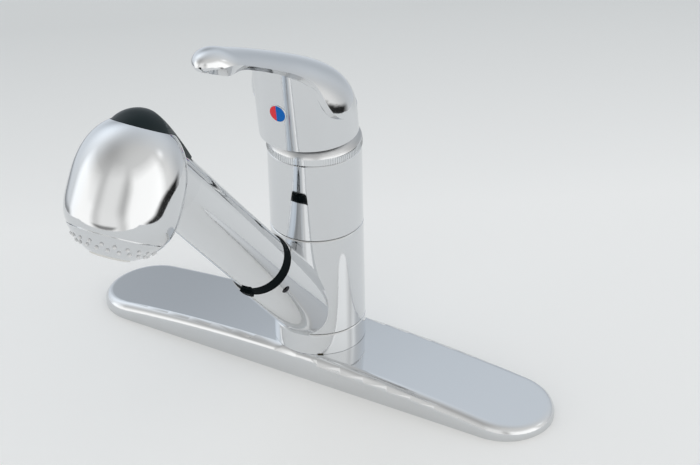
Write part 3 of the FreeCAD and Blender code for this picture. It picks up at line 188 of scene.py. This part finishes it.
satin_black = moulded("satin_black", dark=(0.003, 0.010, 0.012), light=(0.007, 0.016, 0.019),
                      rough=0.28, grain=2600.0, depth=0.00002, gloss=0.2)
dress(satin_black, "spray_button")
ring_black = moulded("ring_black", dark=(0.002, 0.004, 0.005), light=(0.004, 0.007, 0.008),
                     rough=0.42, grain=2600.0, depth=0.00002, gloss=0.03)
dress(ring_black, "docking_ring")

# Nozzle nubs: soft pale rubber, moulded in one mat behind the face and pushed through its holes.
# Lime is rubbed off them with a thumb, so they stand a little proud.
nub_rubber = moulded("nub_rubber", dark=(0.60, 0.61, 0.62), light=(0.74, 0.75, 0.76),
                     rough=0.45, grain=1800.0, depth=0.00003)
dress(nub_rubber, "nozzle_nubs")

# Seals, gasket and the washer under the deck: black rubber with a dusty matt skin.
# They are pressed or cut to shape, and are squeezed between the pieces that they seal.
black_rubber = moulded("black_rubber", dark=(0.012, 0.012, 0.012), light=(0.035, 0.034, 0.033),
                       rough=0.62, grain=1500.0, depth=0.00004)
dress(black_rubber, "deck_gasket", "rubber_washer", "port_seals", "plunger_ring", "face_seal")

# Bearings, spigot, water ways and cartridge: natural white acetal, moulded and a little waxy.
# They are pushed or screwed into the metal pieces that they line.
white_acetal = moulded("white_acetal", dark=(0.70, 0.70, 0.67), light=(0.80, 0.80, 0.77),
                       rough=0.36, grain=1200.0, depth=0.00002)
dress(white_acetal, "lower_swivel_bush", "upper_swivel_bush", "wand_guide_bush", "wand_spigot", "check_valve",
      "wand_water_tube", "diverter_block", "diverter_plunger", "aerator_body", "cartridge_base",
      "cartridge_housing", "cartridge_turret", "disc_carrier")

# Cartridge discs: white alumina, lapped flat to a dull shine.
# The lower one lies still, and the upper one slides on it under its carrier.
alumina = moulded("alumina", dark=(0.80, 0.79, 0.76), light=(0.88, 0.87, 0.84),
                  rough=0.18, grain=5000.0, depth=0.000004, coat=0.2)
dress(alumina, "fixed_disc", "moving_disc")

# Hot and cold mark: two gloss enamel inlays, one red and one blue.
# They are set into a round chrome plug that hides the handle's set screw.
red_enamel = moulded("red_enamel", dark=(0.74, 0.03, 0.045), light=(0.82, 0.045, 0.06),
                     rough=0.16, grain=700.0, depth=0.000006, gloss=0.25)
dress(red_enamel, "indicator_hot")
blue_enamel = moulded("blue_enamel", dark=(0.0, 0.12, 0.48), light=(0.0, 0.15, 0.54),
                      rough=0.16, grain=700.0, depth=0.000006, gloss=0.15)
dress(blue_enamel, "indicator_cold")

# Valve body, shank and nuts: brass, cast or drawn, then turned and left bare.
# Fine tool rings run round them, with a warm tarnish between.


def machined(name, bright, dull, rough, rings, height):
    """Turned metal: tool rings up the height, patches of tarnish, streaked gloss."""
    finish, shader, nodes = new_finish(name)
    tarnish = noise(nodes, nodes.node("TexCoord", output="Object"), 60.0, 5.0, 0.6)
    cut = noise(nodes, stretched(nodes, (0.02, 0.02, 1.0)), rings, 2.0, 0.5)
    bump = nodes.node("Bump", Strength=0.5, Distance=height, Height=cut)
    feed(nodes, shader, Base_Color=mixed(nodes, tarnish, bright, dull),
         Roughness=rough + 0.15 * tarnish + 0.08 * cut, Metallic=1.0, Normal=bump)
    return finish


turned_brass = machined("turned_brass", bright=(0.78, 0.60, 0.30), dull=(0.58, 0.42, 0.20),
                        rough=0.24, rings=1500.0, height=0.00003)
dress(turned_brass, "mounting_shank", "lock_nut", "valve_body", "cartridge_nut")

# Washer, pins, set screws, stem and aerator screen: bright steel, brushed by the tool.
# The screw in the side of the branch is blackened, as bought.
bright_steel = machined("bright_steel", bright=(0.62, 0.62, 0.63), dull=(0.46, 0.46, 0.47),
                        rough=0.22, rings=1800.0, height=0.00002)
dress(bright_steel, "steel_washer", "handle_set_screw", "button_pivot_pin", "stem_pin", "cartridge_stem",
      "aerator_screen")
black_steel = machined("black_steel", bright=(0.05, 0.05, 0.055), dull=(0.025, 0.025, 0.03),
                       rough=0.3, rings=1800.0, height=0.00002)
dress(black_steel, "branch_set_screw")

# Table: a pale board at the deck's height. Its colour is painted darker towards the back and left, as painted
# shade where the studio's light falls off.
# It is seen as a plain floor; in the chrome it ends half a metre away, where the studio begins.
bpy.ops.object.select_all(action="DESELECT")
bpy.ops.mesh.primitive_plane_add(size=40.0, location=(0.0, 0.0, 0.0))
table = bpy.context.object
table.name = "table_top"
pale_table, shader, nodes = new_finish("pale_table")
place = nodes.node("TexCoord", output="Object")
far_shade = nodes.node("VectorMath", {"operation": "DOT_PRODUCT"}, "Value", i0=place, i1=(-0.6, 0.8, 0.0))
fibre = noise(nodes, place, 600.0)
# painted shade: the board's colour goes from pale near the faucet to darker far behind it, standing in for
# the light falling off
colour = mixed(nodes, between(nodes, far_shade, 0.14, 0.40), (0.96, 0.965, 0.96), (0.725, 0.74, 0.74))
feed(nodes, shader, Base_Color=colour, Roughness=0.55 + 0.1 * fibre, Specular_IOR_Level=0.2)
across = nodes.node("SeparateXYZ", output="X", Vector=place)
along = nodes.node("SeparateXYZ", output="Y", Vector=place)
off_side = nodes.sum("MAXIMUM", across + 0.67 * along > 0.46, -1.0 * across > 0.42)
off_board = nodes.sum("MAXIMUM", off_side, abs(along + 0.01) > 0.47)
mirrored = nodes.node("LightPath", output="Is Glossy Ray")
clear = nodes.node("BsdfTransparent")
board = Socket(nodes.tree, shader.outputs[0])
board = nodes.node("MixShader", i0=off_board * mirrored, i1=board, i2=clear)
nodes.tree.links.new(board.output, nodes.tree.nodes["Material Output"].inputs["Surface"])
table.data.materials.append(pale_table)

# Studio: large white cloths at the right, the left and the front, lit from behind, in a grey room.
# Their edges are soft, and a dark gap shows under them, past the edge of the table.
room = bpy.data.worlds.new("grey_room")
room.use_nodes = True
bpy.context.scene.world = room
nodes = Socket(room.node_tree)
place = nodes.node("TexCoord", output="Generated")
rise = nodes.node("SeparateXYZ", output="Z", Vector=place)
level = nodes.node("VectorMath", {"operation": "MULTIPLY"}, i0=place, i1=(1.0, 1.0, 0.0))
level = nodes.node("VectorMath", {"operation": "NORMALIZE"}, i0=level)


def towards(azimuth, elevation, where=place):
    """How far each direction points the same way as one given in degrees from the faucet's front."""
    a, e = math.radians(azimuth), math.radians(elevation)
    out = (math.sin(a) * math.cos(e), -math.cos(a) * math.cos(e), math.sin(e))
    return nodes.node("VectorMath", {"operation": "DOT_PRODUCT"}, "Value", i0=where, i1=out)


def glow(azimuth, elevation, tightness, brightness):
    """A soft patch of light, or of shade where brightness is negative."""
    falloff = (towards(azimuth, elevation) - 1.0) * tightness
    return brightness * nodes.node("Math", {"operation": "EXPONENT"}, i0=falloff)


def cloth(azimuth, half, top, brightness, soft=6.0, fade=10.0):
    """A hung cloth: half its width, its top edge, and how softly its sides and its top end, in degrees."""
    facing = towards(azimuth, 0.0, level)
    sides = between(nodes, facing, math.cos(math.radians(half + soft)), math.cos(math.radians(half - soft)))
    above = between(nodes, rise, math.sin(math.radians(top + fade)), math.sin(math.radians(top - fade)))
    return brightness * sides * above


def gap(azimuth, edge, middle, top, bottom):
    """The dark under a cloth: how near to its middle it begins and is full, and at which heights."""
    return between(nodes, towards(azimuth, 0.0), edge, middle) * between(nodes, rise, top, bottom)


light = 0.84 + cloth(76.0, 31.0, 36.0, 0.53, soft=7.0)
light = light + cloth(308.0, 27.0, 26.0, 0.52) + cloth(10.0, 18.0, 44.0, 0.22)
light = light + glow(250.0, 42.0, 12.0, 0.41) + glow(275.0, 22.0, 12.0, 0.17) + glow(116.0, 0.0, 14.0, 0.18)
light = light + glow(123.0, 31.0, 150.0, 0.40)
light = light + glow(325.0, 55.0, 9.0, -0.30) + glow(222.0, 24.0, 25.0, -0.40) + glow(200.0, 80.0, 6.0, -0.14)
light = light + glow(190.0, 0.0, 12.0, -0.25) + glow(145.0, -6.0, 12.0, -0.18) + glow(37.0, 20.0, 40.0, -0.20)
right_gap = gap(112.0, 0.76, 0.88, -0.16, -0.24)
left_gap = gap(250.0, 0.78, 0.88, -0.20, -0.32)
front_gap = gap(0.0, 0.86, 0.91, -0.20, -0.32)
light = light * (1.0 - 0.97 * right_gap - 0.55 * left_gap - 0.7 * front_gap)
cool = between(nodes, towards(215.0, 15.0), 0.0, 0.9)
tone = mixed(nodes, cool, (1.0, 0.99, 0.97), (0.92, 0.985, 1.06))
backdrop = nodes.tree.nodes["Background"]
nodes.tree.links.new(tone.output, backdrop.inputs["Color"])
nodes.tree.links.new(light.output, backdrop.inputs["Strength"])

# Camera: in front of the faucet, to its right and above it.
# A long lens keeps the plate's far end nearly as large as the near one.
view = bpy.data.cameras.new("camera")
view.sensor_width = 36.0
view.lens = 118.76
view.clip_start = 0.01
holder = bpy.data.objects.new("camera", view)
bpy.context.scene.collection.objects.link(holder)
right = Vector((0.8538, 0.5202, -0.0202)).normalized()
up = Vector((-0.2533, 0.4489, 0.8569))
up = (up - right * up.dot(right)).normalized()
back = right.cross(up)
turn = Matrix((right, up, back)).transposed().to_4x4()
holder.matrix_world = Matrix.Translation((0.5324, -0.8200, 0.6584)) @ turn
bpy.context.scene.camera = holder
bpy.context.scene.view_settings.view_transform = "Standard"
